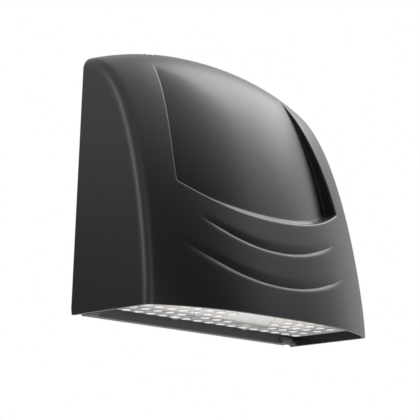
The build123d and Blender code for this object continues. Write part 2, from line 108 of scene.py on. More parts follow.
def finishMaterial(name, values):
    # Base colour drifts between two shades with a slow noise, roughness with a finer one, and
    # the surface is raised by a fine grain.
    material = bpy.data.materials.new(name)
    tree = Tree(material)
    slow = tree.noise(values.get("patch", 18.0), 3.0)
    fine = tree.noise(values["grain"], 2.0)
    rgb, drift, roughDrift = values["rgb"], values.get("drift", 0.08), values.get("roughDrift", 0.08)
    colour = tree.mix(slow, shade(rgb, 1 - drift), shade(rgb, 1 + drift))
    rough = fine * roughDrift + (values["rough"] - roughDrift / 2)
    raised = tree.bump(fine, values.get("bump", 0.12), values.get("bumpDepth", 0.0002))
    shader = tree.node("ShaderNodeBsdfPrincipled", None, {
        "Base Color": colour, "Roughness": rough, "Normal": raised, "Metallic": values.get("metal", 0.0),
        "Specular IOR Level": values.get("specular", 0.5),
    })
    tree.node("ShaderNodeOutputMaterial", None, {"Surface": shader})
    return material


finishes = {
    "powderCoat": {"rgb": (0.0048, 0.0049, 0.0052), "rough": 0.37, "specular": 0.42, "grain": 1500.0,
                   "bump": 0.05, "bumpDepth": 0.0001, "drift": 0.06, "roughDrift": 0.05},
    # back plate: the hood's black powder coat made lighter, painted light for its foot in the hood's shade
    "plateCoatPaintedLight": {"rgb": (0.034, 0.0345, 0.0355), "rough": 0.45, "specular": 0.4, "grain": 1300.0,
                  "bump": 0.07, "bumpDepth": 0.0001, "drift": 0.06, "roughDrift": 0.06},
    "castAluminium": {"rgb": (0.62, 0.63, 0.64), "rough": 0.46, "metal": 1.0, "grain": 900.0, "bump": 0.3,
                      "bumpDepth": 0.0002, "drift": 0.07},
    "siliconeRubber": {"rgb": (0.035, 0.035, 0.036), "rough": 0.62, "grain": 1100.0, "bump": 0.15,
                       "drift": 0.12},
    "zincSteel": {"rgb": (0.60, 0.60, 0.58), "rough": 0.28, "metal": 1.0, "grain": 1800.0, "bump": 0.12,
                  "drift": 0.1},
    "gearCase": {"rgb": (0.70, 0.70, 0.68), "rough": 0.42, "grain": 700.0, "bump": 0.1, "drift": 0.04},
    "surgeCase": {"rgb": (0.03, 0.03, 0.032), "rough": 0.5, "grain": 800.0, "bump": 0.2, "drift": 0.1},
    "terminalPlastic": {"rgb": (0.24, 0.25, 0.26), "rough": 0.5, "grain": 900.0, "bump": 0.15, "drift": 0.06},
    "connectorNylon": {"rgb": (0.72, 0.71, 0.66), "rough": 0.45, "grain": 900.0, "bump": 0.12, "drift": 0.05},
    "leadSleeve": {"rgb": (0.05, 0.05, 0.055), "rough": 0.42, "grain": 1500.0, "bump": 0.12, "drift": 0.1},
    "brassScrew": {"rgb": (0.66, 0.49, 0.2), "rough": 0.3, "metal": 1.0, "grain": 1600.0, "bump": 0.12,
                   "drift": 0.1},
    "greenScrew": {"rgb": (0.03, 0.24, 0.07), "rough": 0.34, "metal": 0.6, "grain": 1600.0, "bump": 0.12,
                   "drift": 0.12},
    "phosphor": {"rgb": (0.78, 0.40, 0.01), "rough": 0.5, "grain": 2600.0, "bump": 0.1, "drift": 0.1},
}
materials = {name: finishMaterial(name, values) for name, values in finishes.items()}


def boardMaterial():
    # White solder mask with a faint darker seam at every pitch across the width: seam where the
    # fraction of x / pitch is below width, over a slight cloud.
    values = {"white": (0.76, 0.76, 0.75), "seam": (0.58, 0.58, 0.57), "pitch": 0.0133, "width": 0.05,
              "seamShare": 0.7, "cloud": 0.1, "rough": 0.28, "roughDrift": 0.1}
    material = bpy.data.materials.new("boardMask")
    tree = Tree(material)
    split = tree.node("ShaderNodeSeparateXYZ", None, [tree.place(1 / values["pitch"])])
    across = Value(tree, split.socket.node.outputs[0])
    wave = across.math("FRACT")
    seam = wave < values["width"]
    mask = tree.noise(60.0, 4.0)
    share = seam * values["seamShare"] + mask * values["cloud"]
    colour = tree.mix(share, shade(values["white"]), shade(values["seam"]))
    shader = tree.node("ShaderNodeBsdfPrincipled", None, {
        "Base Color": colour, "Roughness": mask * values["roughDrift"] + values["rough"],
        "Normal": tree.bump(mask, 0.08, 0.0001),
    })
    tree.node("ShaderNodeOutputMaterial", None, {"Surface": shader})
    return material


def lensMaterial():
    # clear moulded plastic told apart by height: the flat plate, painted shade on the foot of each dome
    # and a painted highlight on the brighter dome below it
    # foot is a dark painted shade ring round each dome, dome a painted highlight at its centre
    values = {"plate": (0.93, 0.935, 0.94), "foot": (0.08, 0.08, 0.085), "dome": (0.96, 0.96, 0.96),
              "plateAlpha": 0.32, "footAlpha": 0.5, "domeAlpha": 0.58, "rough": 0.1,
              "haze": 0.1, "roughDrift": 0.06,
              "footUp": -0.10274, "domeUp": -0.10318}    # heights in the frame, in metres
    material = bpy.data.materials.new("clearLensPaintedShadeAndHighlight")
    tree = Tree(material)
    haze = tree.noise(220.0, 3.0)
    split = tree.node("ShaderNodeSeparateXYZ", None, [tree.place()])
    up = Value(tree, split.socket.node.outputs[2])
    # masks by height for the painted shade (foot and dome) and the painted highlight (dome only)
    below = up < values["footUp"]    # 1 on foot and dome
    dome = up < values["domeUp"]
    colour = tree.mix(below, shade(values["plate"]), shade(values["foot"]))
    toFoot = values["footAlpha"] - values["plateAlpha"]
    toDome = values["domeAlpha"] - values["footAlpha"]
    alpha = below * toFoot + dome * toDome
    cloudy = haze * values["haze"] + (1 - values["haze"] / 2)
    shader = tree.node("ShaderNodeBsdfPrincipled", None, {
        # painted highlight: the dome centre is mixed towards near white
        "Base Color": tree.mix(dome * cloudy, colour, shade(values["dome"])),
        "Roughness": haze * values["roughDrift"] + values["rough"],
        "Alpha": alpha + values["plateAlpha"], "IOR": 1.49,
    })
    tree.node("ShaderNodeOutputMaterial", None, {"Surface": shader})
    return material


materials["boardMask"] = boardMaterial()
materials["clearLensPaintedShadeAndHighlight"] = lensMaterial()
print("materials:", len(materials))


def toMetres(points):
    points = np.asarray(points, float).reshape(-1, 3).copy()
    points[:, 2] -= fixingUp
    return points * 0.001


def addPiece(name, points, faces, material, body, replaced=(), sharp=35.0):
    # A mesh from points in millimetres; faces that meet at more than sharp degrees stay crisp.
    mesh = bpy.data.meshes.new(name)
    mesh.from_pydata(toMetres(points).tolist(), [], [list(map(int, face)) for face in faces])
    mesh.validate()
    mesh.polygons.foreach_set("use_smooth", [True] * len(mesh.polygons))
    mesh.set_sharp_from_angle(angle=math.radians(sharp))
    mesh.materials.append(materials[material])
    piece = bpy.data.objects.new(name, mesh)
    bpy.context.scene.collection.objects.link(piece)
    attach(piece, body)
    if replaced:
        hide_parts(*replaced)
    return piece


def gridFaces(rows, cols, start=0, flip=False):
    # Quads of a grid whose point (i, j) has the number start + i * cols + j.
    i, j = np.meshgrid(np.arange(rows - 1), np.arange(cols - 1), indexing="ij")
    a = (start + i * cols + j).ravel()
    quads = np.stack([a, a + 1, a + cols + 1, a + cols], axis=1)
    return quads[:, ::-1] if flip else quads


def joined(*groups):
    # One point list and one face list from several (points, faces).
    points = []
    faces = []
    count = 0
    for these, quads in groups:
        these = np.asarray(these, float).reshape(-1, 3)
        points.append(these)
        faces.extend([[int(k) + count for k in quad] for quad in quads])
        count += len(these)
    return np.concatenate(points), faces


def roundedBlock(xRange, yRange, upRange, radius, edge=0.4, corner=5):
    # Rounded rectangle in plan carried upwards, with its top and foot edges eased.
    angle = np.linspace(0, math.pi / 2, corner)
    loop = []
    for k, (sx, sy) in enumerate(((1, 1), (-1, 1), (-1, -1), (1, -1))):
        cx = (xRange[1] if sx > 0 else xRange[0]) - sx * radius
        cy = (yRange[1] if sy > 0 else yRange[0]) - sy * radius
        turn = angle + k * math.pi / 2
        loop.append(np.stack([cx + radius * np.cos(turn), cy + radius * np.sin(turn)], axis=1))
    loop = np.concatenate(loop)
    middle = loop.mean(axis=0)
    half = np.abs(loop - middle).max(axis=0)
    levels = [(upRange[0], edge), (upRange[0] + edge, 0.0), (upRange[1] - edge, 0.0), (upRange[1], edge)]
    rings = []
    for up, inward in levels:
        scaled = middle + (loop - middle) * (1 - inward / half)
        rings.append(np.column_stack([scaled, np.full(len(loop), up)]))
    count = len(loop)
    faces = []
    for i in range(len(levels) - 1):
        for k in range(count):
            n = (k + 1) % count
            faces.append([i * count + k, i * count + n, (i + 1) * count + n, (i + 1) * count + k])
    faces.append(list(range(count))[::-1])
    faces.append([(len(levels) - 1) * count + k for k in range(count)])
    return np.concatenate(rings), faces


panelOutside = 20.0    # nominal width between side lip and rounded edge
edgeSteps = 12         # columns over the rounded edge
sideSteps = 34         # and over the side
hood = {
    "width": 256.0, "sideDepth": 83.0, "nose": 26.0, "nosePower": 3.06,
    "sideHeight": 201.0, "crown": 25.0, "crownPower": 2.1,
    "upright": 0.144, "shoulder": 0.692, "draft": math.radians(2.54),
    "edgeRadius": 12.0, "wall": 3.0,
    "rearGap": 0.4,
    "swingGap": 0.9, "swingUp": 4.0,    # the foot of the rear edge stands off the wall to swing free
    "panelMiddleStep": 3.2, "panelSideStep": 16.5, "stepPower": 2.2, "panelRise": 5.0,
    "lipHalf": 95.5, "lipFoot": 77.4, "lipCorner": 2.2, "lipRound": 2.0,
    "lipWall": 0.35, "lipSlope": 2.1, "floorRound": 1.3,
    "lipMost": 0.4, "floorMost": 0.3,    # of a shallow recess, taken by lip and floor round
    "blend": 0.25,                       # keeps the recess from turning outwards where it ends
    "sideLipStart": 97.0, "sideLipBend": 0.0139, "sideLipPower": 1.55,
    "footBend": 6.0e-4, "footPower": 2.3, "tailClimb": 0.1,
}
scallops = [  # lower line at the middle, how it climbs with x, where it ends and how deep it is
    {"up": 26.0, "bend": 1.24e-3, "power": 2.16, "tip": 99.0, "depth": 2.3},
    {"up": 54.0, "bend": 1.85e-3, "power": 2.1, "tip": 79.0, "depth": 2.3},
]
scallopBand = 8.0      # the dip builds up over this height
scallopReturn = 4.2    # and comes back out over this one
taperPower = 0.9       # towards both tips
inPower = 2.2
outPower = 2.4


def profileDepth(u):
    # Share of the depth along the profile, a cubic that starts upright.
    return (1 - u) ** 3 + 3 * (1 - u) ** 2 * u + 3 * (1 - u) * u ** 2 * hood["shoulder"]


def profileUp(u):
    # Share of the height along the same cubic.
    return 3 * (1 - u) ** 2 * u * hood["upright"] + 3 * (1 - u) * u ** 2 + u ** 3


def bisect(function, target):
    # Solves function(u) = target for u between 0 and 1, where function rises.
    low = np.zeros_like(target)
    high = np.ones_like(target)
    for _ in range(36):
        middle = (low + high) / 2
        above = function(middle) > target
        high = np.where(above, middle, high)
        low = np.where(above, low, middle)
    return (low + high) / 2


def shareOfDepth(target):
    # Profile parameter at a share of the depth, which falls as the parameter rises.
    return 1 - bisect(lambda w: profileDepth(1 - w), target)


def depthAt(x, inset):
    # sideDepth + nose * (1 - |2x / width|^nosePower)
    bulge = 1 - np.abs(2 * x / hood["width"]) ** hood["nosePower"]
    return hood["sideDepth"] + hood["nose"] * bulge - inset


def heightAt(x, inset):
    # sideHeight + crown * (1 - |2x / width|^crownPower)
    bulge = 1 - np.abs(2 * x / hood["width"]) ** hood["crownPower"]
    return hood["sideHeight"] + hood["crown"] * bulge - inset


def hoodPoint(x, u, inset):
    # Point of the plain hood surface: depth and height at x, each times its profile share.
    return np.stack([x, -depthAt(x, inset) * profileDepth(u), heightAt(x, inset) * profileUp(u)], axis=-1)


def sideLip(up, inset):
    # Half width of the panel outline at a height: straight low down, drawn in above.
    above = np.maximum(up - hood["sideLipStart"], 0)
    return hood["lipHalf"] + inset - hood["sideLipBend"] * above ** hood["sideLipPower"]


def risingLine(x, foot, bend, power, limit):
    # Height of a line that starts level at the middle and climbs to both sides.
    inside = np.minimum(np.abs(x), limit)
    return foot + bend * inside ** power + hood["tailClimb"] * (np.abs(x) - inside)


def keyHeights(x, inset):
    # Heights of the lower edge, both scallop lines and the panel's lower lip at x.
    lines = [np.zeros_like(x)]
    lines += [risingLine(x, s["up"], s["bend"], s["power"], s["tip"]) for s in scallops]
    foot = hood["lipFoot"] - inset
    lines.append(risingLine(x, foot, hood["footBend"], hood["footPower"], hood["lipHalf"]))
    return lines


def shareAt(x, q, inset):
    # Profile parameter of the row q above the panel's lower lip. Rows below the lip run between
    # the key lines, rows above it between the lip and the rear edge.
    levels = [0.0] + [s["up"] for s in scallops] + [hood["lipFoot"]]
    lines = keyHeights(x, inset)
    nominal = np.minimum(q + hood["lipFoot"], hood["lipFoot"])
    up = np.zeros_like(x)
    for k in range(len(levels) - 1):
        part = np.clip((nominal - levels[k]) / (levels[k + 1] - levels[k]), 0, 1)
        up = np.where(nominal >= levels[k], lines[k] + part * (lines[k + 1] - lines[k]), up)
    lower = bisect(profileUp, up / heightAt(x, inset))
    middleHeight = heightAt(np.zeros(1), 0)[0]
    rearShare = lambda depth: shareOfDepth(hood["rearGap"] / depth)
    startMiddle = bisect(profileUp, np.array([hood["lipFoot"] / middleHeight]))[0]
    endMiddle = rearShare(depthAt(np.zeros(1), 0))[0]
    rowUp = np.clip((hood["lipFoot"] + np.maximum(q, 0)) / middleHeight, 0, 1)
    climb = np.clip((bisect(profileUp, rowUp) - startMiddle) / (endMiddle - startMiddle), 0, 1)
    return lower + (rearShare(depthAt(x, inset)) - lower) * climb


def lipProfile(level, lowerShare, depth):
    # depth below the hood surface at a distance level inside the panel outline: a round lip, a
    # wall, steep at the sides and sloping at the foot, and a small round at the floor
    wallWidth = hood["lipWall"] + (hood["lipSlope"] - hood["lipWall"]) * lowerShare
    lip = np.minimum(hood["lipRound"], depth * hood["lipMost"])
    foot = np.minimum(hood["floorRound"], depth * hood["floorMost"])
    lipShare = np.clip(level / hood["lipRound"], 0, 1)
    inLip = lip - np.sqrt(np.maximum(lip ** 2 - lipShare ** 2 * lip ** 2, 0))
    wallShare = np.clip((level - hood["lipRound"]) / wallWidth, 0, 1)
    footShare = np.clip((level - hood["lipRound"] - wallWidth) / hood["floorRound"], 0, 1)
    inWall = (depth - lip - foot) * wallShare
    inFoot = foot * np.sqrt(1 - (1 - footShare) ** 2)
    return inLip + inWall + inFoot


def scallopDepth(x, q):
    # each dip steepens towards its line, where it turns at once, and fades out again below it
    total = np.zeros_like(x)
    for s in scallops:
        above = q + hood["lipFoot"] - s["up"]
        taper = np.clip(1 - (np.abs(x) / s["tip"]) ** 2, 0, 1) ** taperPower
        inward = np.clip(1 - above / scallopBand, 0, 1) ** inPower
        back = np.clip(1 + above / scallopReturn, 0, 1) ** outPower
        total += s["depth"] * taper * np.where(above >= 0, inward, back)
    return total


def warpCorner(p, q):
    # Rounds the corner where side lip and lower lip cross: the crooked line of equal distance
    # inside becomes one with an arc, and the arc shrinks away outside.
    level = np.minimum(p, q)
    along = np.abs(p - q)
    radius = hood["lipCorner"]
    arc = np.where(level >= 0, np.maximum(radius - level, 0), np.maximum(radius + level / 3, 0))
    safe = np.maximum(arc, 1e-6)
    inArc = along < arc
    angle = math.pi + math.pi / 4 * (1 - along / safe)
    nearSide = level + arc + arc * np.cos(angle)
    farSide = level + arc + arc * np.sin(angle)
    newP = np.where(inArc, np.where(q > p, nearSide, farSide), p)
    newQ = np.where(inArc, np.where(q > p, farSide, nearSide), q)
    return newP, newQ, level


def rowLevels():
    # Heights of the grid rows at the middle, above the panel's lower lip.
    dip = [-4.2, -3.4, -2.7, -2.1, -1.5, -1.0, -0.5, 0, 0.5, 1, 1.6, 2.3, 3, 3.8, 4.6, 5.4, 6.2, 7,
           7.7, 8.6]
    rows = list(np.arange(0, 21, 2.3))
    for s in scallops:
        rows += [s["up"] + step for step in dip]
    rows += list(np.arange(35, 49, 2.2)) + list(np.arange(62.8, hood["lipFoot"] - 1, 2.2))
    rows = sorted(rows + [hood["lipFoot"] - 0.6])
    round1 = hood["lipRound"] * np.sin(np.linspace(0, math.pi / 2, 7))
    slope = hood["lipRound"] + hood["lipSlope"] * np.array([0.25, 0.5, 0.75])
    floor = hood["floorRound"] * (1 - np.cos(np.linspace(0, math.pi / 2, 6)))
    round2 = hood["lipRound"] + hood["lipSlope"] + floor
    inside = [*round1, *slope, *round2, 6.9, 7.6]
    below = [up - hood["lipFoot"] for up in rows]
    top = heightAt(np.zeros(1), 0)[0] - hood["lipFoot"]
    above = [8.6] + list(top * np.sin(np.linspace(math.asin(10 / top), math.pi / 2, 66)))
    return np.array(below + inside + above)


def columnLevels():
    # Distances of the grid columns inside the side lip, from the middle outwards; negative
    # outside it.
    round1 = hood["lipRound"] * np.sin(np.linspace(0, math.pi / 2, 7))
    floor = hood["floorRound"] * (1 - np.cos(np.linspace(0, math.pi / 2, 6)))
    round2 = hood["lipRound"] + hood["lipWall"] + floor
    inside = list(round1) + list(round2) + [3.9, 4.6, 5.4, 6.5, 8.0]
    middle = list(np.linspace(hood["lipHalf"], 10, 44))
    outside = [-0.7, -1.5, -2.5] + list(np.linspace(-4, -panelOutside, 9))
    return np.array(middle + inside[::-1] + outside)


def halfHood(inset):
    # Right half of a hood skin as a grid: rows climb from the lower edge, columns run from the
    # middle over the panel, its lip and the rounded edge to the rear edge of the side.
    p, q = np.meshgrid(columnLevels(), rowLevels())
    newP, newQ, level = warpCorner(p, q)
    halfWidth = hood["width"] / 2 - inset
    lean = math.tan(hood["draft"])
    radius = hood["edgeRadius"] - inset

    def rowPoint(x, rowQ):
        return hoodPoint(x, shareAt(x, rowQ, inset), inset)

    def edgeX(rowQ):
        x = np.full(rowQ.shape, halfWidth)
        for _ in range(6):
            x = halfWidth - rowPoint(x, rowQ)[..., 2] * lean
        return x

    # rounded edge: a ball of the edge radius touches front and side at these points
    rows = rowLevels()
    edge = edgeX(rows)
    corner = rowPoint(edge, rows)
    step = 0.2
    across = rowPoint(edge + step, rows) - rowPoint(edge - step, rows)
    across /= np.linalg.norm(across, axis=1, keepdims=True)
    along = np.gradient(corner, axis=0)
    along /= np.linalg.norm(along, axis=1, keepdims=True)
    sideNormal = np.array([math.cos(hood["draft"]), 0, math.sin(hood["draft"])])
    frontNormal = np.cross(along, across)
    frontNormal /= np.linalg.norm(frontNormal, axis=1, keepdims=True)
    frontNormal *= np.sign(-frontNormal[:, 1:2] + frontNormal[:, 2:3])
    between = np.arccos(np.clip(frontNormal @ sideNormal, -1, 1))
    touch = radius * np.tan(between / 2)
    inwards = np.cross(np.broadcast_to(sideNormal, along.shape), along)
    inwards *= np.sign(inwards[:, 1:2] - inwards[:, 2:3])
    sideTouch = corner + touch[:, None] * inwards
    frontAcross = np.cross(along, frontNormal)
    frontAcross /= np.linalg.norm(frontAcross, axis=1, keepdims=True)
    frontX = edge - touch * np.abs(frontAcross[:, 0])
    frontTouch = rowPoint(frontX, rows)
    outwards = rowPoint(frontX + step, rows) - rowPoint(frontX - step, rows)
    outwards /= np.linalg.norm(outwards, axis=1, keepdims=True)
    handle = (4 / 3 * np.tan(between / 4) / np.tan(between / 2) * touch)[:, None]
    t = np.linspace(0, 1, edgeSteps + 1)[1:, None, None]
    c1 = frontTouch + outwards * handle
    c2 = sideTouch - inwards * handle
    bend = (1 - t) ** 3 * frontTouch + 3 * (1 - t) ** 2 * t * c1
    bend = bend + 3 * (1 - t) * t ** 2 * c2 + t ** 3 * sideTouch

    # front with panel and scallops
    lipX = np.full(p.shape, hood["lipHalf"])
    for _ in range(8):
        lipX = sideLip(rowPoint(lipX, newQ)[..., 2], inset)
    reachX = np.interp(newQ, rows, frontX)
    insideX = lipX * (1 - newP / hood["lipHalf"])
    outsideX = lipX + (reachX - lipX) * (-newP / panelOutside)
    x = np.where(newP >= 0, insideX, outsideX)
    front = rowPoint(x, newQ)
    up = front[..., 2]
    deeper = hood["panelSideStep"] - hood["panelMiddleStep"]
    stepIn = hood["panelMiddleStep"] + deeper * np.abs(x / hood["lipHalf"]) ** hood["stepPower"]
    floorShare = bisect(profileUp, np.clip(up / (heightAt(x, inset) + hood["panelRise"]), 0, 1))
    floorDepth = (depthAt(x, inset) - stepIn) * profileDepth(floorShare)
    recess = -front[..., 1] - floorDepth
    recess = (recess + np.sqrt(recess ** 2 + hood["blend"])) / 2
    lowerShare = np.clip((newP - newQ) / (2 * hood["lipCorner"]) + 0.5, 0, 1)
    front[..., 1] += lipProfile(level, lowerShare, recess)
    if inset == 0:
        front[..., 1] += scallopDepth(x, newQ)

    # side panel, level lines back to the rear edge
    s = np.linspace(0, 1, sideSteps + 1)[1:, None]
    nearFoot = np.clip(1 - np.maximum(sideTouch[:, 2], 0) / hood["swingUp"], 0, 1)
    rearEdge = -hood["rearGap"] - hood["swingGap"] * nearFoot
    back = np.minimum(sideTouch[:, 1], rearEdge)
    sideY = back + (rearEdge - back) * s
    sideUp = np.broadcast_to(sideTouch[:, 2], sideY.shape)
    side = np.stack([halfWidth - sideUp * lean, sideY, sideUp], axis=-1)
    grid = np.concatenate([front, bend.transpose(1, 0, 2), side.transpose(1, 0, 2)], axis=1)
    grid[..., 1] = np.minimum(grid[..., 1], -hood["rearGap"])
    grid[..., 2] = np.maximum(grid[..., 2], 0)
    grid[0, :, 2] = 0
    grid[-1, :, 1] = -hood["rearGap"]
    return grid


def fullHood(inset):
    half = halfHood(inset)
    mirrored = half[:, :0:-1] * np.array([-1, 1, 1])
    return np.concatenate([mirrored, half], axis=1)


def rimOf(number):
    # Point numbers round the edge of a grid.
    return np.concatenate([number[0, :], number[1:, -1], number[-1, -2::-1], number[-2:0:-1, 0]])


def makeHood():
    # Outer and inner skin, closed along the lower edge and the rear edge.
    outer = fullHood(0)
    inner = fullHood(hood["wall"])
    rows, cols, _ = outer.shape
    count = rows * cols
    number = np.arange(count).reshape(rows, cols)
    loop = rimOf(number)
    following = np.roll(loop, -1)
    rim = np.stack([loop + count, following + count, following, loop], axis=1)
    points = np.concatenate([outer.reshape(-1, 3), inner.reshape(-1, 3)])
    faces = np.concatenate([gridFaces(rows, cols), gridFaces(rows, cols, count, flip=True), rim])
    print("hood grid:", rows, "x", cols)
    replaced = ["front_housing"]
    return addPiece("hood_shell", points, faces, "powderCoat", "hood", replaced, sharp=50)


def mergeDoubles(piece):
    work = bmesh.new()
    work.from_mesh(piece.data)
    bmesh.ops.remove_doubles(work, verts=work.verts, dist=1e-7)
    bmesh.ops.recalc_face_normals(work, faces=work.faces)
    work.to_mesh(piece.data)
    work.free()


def ringSolid(profile, centre, axis="z", steps=40):
    # closed loop of (radius, height) pairs turned about an axis through centre
    profile = np.asarray(profile, float)
    angle = np.linspace(0, 2 * math.pi, steps, endpoint=False)
    ring = np.stack([np.cos(angle), np.sin(angle)], axis=1)
    out = profile[:, None, 0:1] * ring[None]
    along = np.repeat(profile[:, None, 1:2], steps, axis=1)
    points = np.concatenate([out, along], axis=2)
    points = points[..., {"x": [2, 0, 1], "y": [1, 2, 0], "z": [0, 1, 2]}[axis]]
    i, j = np.meshgrid(np.arange(len(profile)), np.arange(steps), indexing="ij")
    nextI, nextJ = (i + 1) % len(profile), (j + 1) % steps
    faces = np.stack([i * steps + j, i * steps + nextJ, nextI * steps + nextJ, nextI * steps + j], axis=-1)
    return points.reshape(-1, 3) + np.asarray(centre, float), faces.reshape(-1, 4)


def crossSection(y, inset, low, steps=60):
    # outline of the hood form at a distance from the wall: up one side, over the crown and down
    lean = math.tan(hood["draft"])
    xs = np.linspace(-1, 1, 401) * (hood["width"] / 2 - inset)
    share = shareOfDepth(-y / depthAt(xs, inset))
    ups = heightAt(xs, inset) * profileUp(share)
    half = hood["width"] / 2 - inset
    edge = half - np.interp(half, xs, ups) * lean
    radius = hood["edgeRadius"] - inset
    t = np.linspace(0, 1, 13)[:, None]
    top = np.array([edge - radius, np.interp(edge - radius, xs, ups)])
    side = np.array([edge + (radius + 4) * lean, np.interp(edge, xs, ups) - radius])
    corner = np.array([edge, np.interp(edge, xs, ups)])
    bend = (1 - t) ** 2 * side + 2 * (1 - t) * t * corner + t ** 2 * top
    foot = np.array([[half - low * lean, low]])
    middle = np.linspace(edge - radius, 0, steps)[1:]
    crown = np.stack([middle, np.interp(middle, xs, ups)], axis=1)
    right = np.concatenate([foot, bend, crown])
    left = right[-2::-1] * np.array([-1, 1])
    return np.concatenate([right, left])


def makeFlange():
    # sealing flange: a flat ring round the inside of the hood, closed to a U over the tray
    values = {"outer": 1.5, "inner": 6.5, "front": -12.0, "back": -9.0, "foot": 18.6}
    outer = crossSection(values["back"], values["outer"], values["foot"])
    inner = crossSection(values["back"], values["inner"], values["foot"])
    count = len(outer)
    place = lambda loop, y: np.stack([loop[:, 0], np.full(count, y), loop[:, 1]], axis=1)
    sections = np.stack([place(outer, values["back"]), place(inner, values["back"]),
                         place(inner, values["front"]), place(outer, values["front"])], axis=1)
    k = np.arange(count - 1)[:, None] * 4
    c = np.arange(4)[None]
    n = (c + 1) % 4
    faces = np.stack([k + c, k + n, k + 4 + n, k + 4 + c], axis=-1).reshape(-1, 4)
    ends = [[3, 2, 1, 0], [4 * count - 4, 4 * count - 3, 4 * count - 2, 4 * count - 1]]
    points = sections.reshape(-1, 3)
    faces = [*faces.tolist(), *ends]
    return addPiece("hood_flange", points, faces, "powderCoat", "hood")


bosses = {
    "screwX": 60.0, "screwY": -14.0, "low": 189.0, "half": 8.0, "back": -9.0, "front": -21.0,
    "bore": 2.8, "pocket": 5.0, "pocketUp": 211.5, "skin": 1.4,
    "trayAt": [(117.5, -40.0), (112.0, -74.0)], "tray": 4.5, "trayUp": (18.0, 40.0),
    "trayRound": 1.5, "intoWall": 0.5,
    "earY": -7.0, "earUp": 4.2, "earRadius": 4.0, "earBore": 2.15, "earFrom": 116.6, "earTo": 126.4,
    "earEdge": 0.3, "cutBelow": 6.0, "cutTop": 240.0,
}


def crownUp(x, y, inset):
    x = np.asarray(x, float)
    share = shareOfDepth(-y / depthAt(x, inset))
    return heightAt(x, inset) * profileUp(share)


def makeClosingBoss(side):
    # square post under the crown with a stepped round hole; its top follows the crown
    v = bosses
    count = 48
    angle = (np.arange(count) + 0.5) / count * 2 * math.pi
    ring = np.stack([np.cos(angle), np.sin(angle)], axis=1)
    lift = 1 / np.maximum(np.abs(ring[:, 0]), np.abs(ring[:, 1]))
    halfY = (v["back"] - v["front"]) / 2
    middle = np.array([0, (v["back"] + v["front"]) / 2 - v["screwY"]])
    outline = ring * lift[:, None] * np.array([v["half"], halfY]) + middle

    def level(loop, up):
        x = side * v["screwX"] + loop[:, 0]
        y = v["screwY"] + loop[:, 1]
        top = crownUp(x, y, v["skin"]) if up is None else np.full(count, up)
        return np.stack([x, y, top], axis=1)

    loops = [level(outline, None), level(outline, v["low"]), level(ring * v["bore"], v["low"]),
             level(ring * v["bore"], v["pocketUp"]), level(ring * v["pocket"], v["pocketUp"]),
             level(ring * v["pocket"], None)]
    i, j = np.meshgrid(np.arange(6), np.arange(count), indexing="ij")
    nextI, nextJ = (i + 1) % 6, (j + 1) % count
    faces = np.stack([i * count + j, nextI * count + j, nextI * count + nextJ, i * count + nextJ], axis=-1)
    return np.concatenate(loops), faces.reshape(-1, 4)


def makeBosses():
    # closing bosses, tray bosses on the side walls and the ears of the hinge
    v = bosses
    groups = []
    for side in (-1, 1):
        groups.append(makeClosingBoss(side))
        for x, y in v["trayAt"]:
            wallX = hood["width"] / 2 - hood["wall"] + v["intoWall"]
            span = sorted((side * (x - v["tray"]), side * wallX))
            groups.append(roundedBlock(span, (y - v["tray"], y + v["tray"]), v["trayUp"], v["trayRound"]))
        ends = sorted((side * v["earFrom"], side * v["earTo"]))
        wide, eased = v["earRadius"], v["earRadius"] - v["earEdge"]
        ear = [(v["earBore"], ends[0]), (eased, ends[0]), (wide, ends[0] + v["earEdge"]),
               (wide, ends[1] - v["earEdge"]), (eased, ends[1]), (v["earBore"], ends[1])]
        groups.append(ringSolid(ear, (0, v["earY"], v["earUp"]), "x"))
    points, faces = joined(*groups)
    return addPiece("hood_bosses", points, faces, "powderCoat", "hood")


def openPockets(shell):
    # round holes through the crown over the closing screws
    v = bosses
    low, top, thin = v["pocketUp"] - v["cutBelow"], v["cutTop"], 0.001
    rod = [(thin, low), (v["pocket"], low), (v["pocket"], top), (thin, top)]
    groups = [ringSolid(rod, (side * v["screwX"], v["screwY"], 0), "z", 64) for side in (-1, 1)]
    points, faces = joined(*groups)
    mesh = bpy.data.meshes.new("pocket_cutter")
    mesh.from_pydata(toMetres(points).tolist(), [], faces)
    cutter = bpy.data.objects.new("pocket_cutter", mesh)
    bpy.context.scene.collection.objects.link(cutter)
    mergeDoubles(cutter)
    cut = shell.modifiers.new("pockets", "BOOLEAN")
    cut.operation = "DIFFERENCE"
    cut.solver = "EXACT"
    cut.object = cutter
    ready = shell.evaluated_get(bpy.context.evaluated_depsgraph_get())
    made = bpy.data.meshes.new_from_object(ready)
    shell.modifiers.clear()
    old = shell.data
    shell.data = made
    made.name = old.name + "_open"
    bpy.data.meshes.remove(old)
    bpy.data.objects.remove(cutter)


hoodShell = makeHood()
mergeDoubles(hoodShell)
before = len(hoodShell.data.polygons)
openPockets(hoodShell)
print("hood shell:", before, "faces, with pockets", len(hoodShell.data.polygons))
for piece in (makeFlange(), makeBosses()):
    mergeDoubles(piece)
print("flange and bosses made")


lens = {
    "up": (7.3, 10.6), "inset": 5.5, "rear": -12.0, "columns": 400, "rows": 150,
    "domeRadius": 4.6, "domeHeight": 1.3, "domePower": 0.6,
    "pitch": 13.3, "rowPitch": 14.8, "firstRow": -18.2, "rowEnds": [113.1, 107.0, 107.0, 107.0, 80.0],
    "blank": (-7.0, 47.0), "blankSecond": (20.0, 60.0), "screwX": -26.6, "screwRoom": 3.0,
    "earsAt": (-100.0, -25.0, 57.0), "ear": 4.2, "earY": -12.2, "earEdge": 0.3,
}


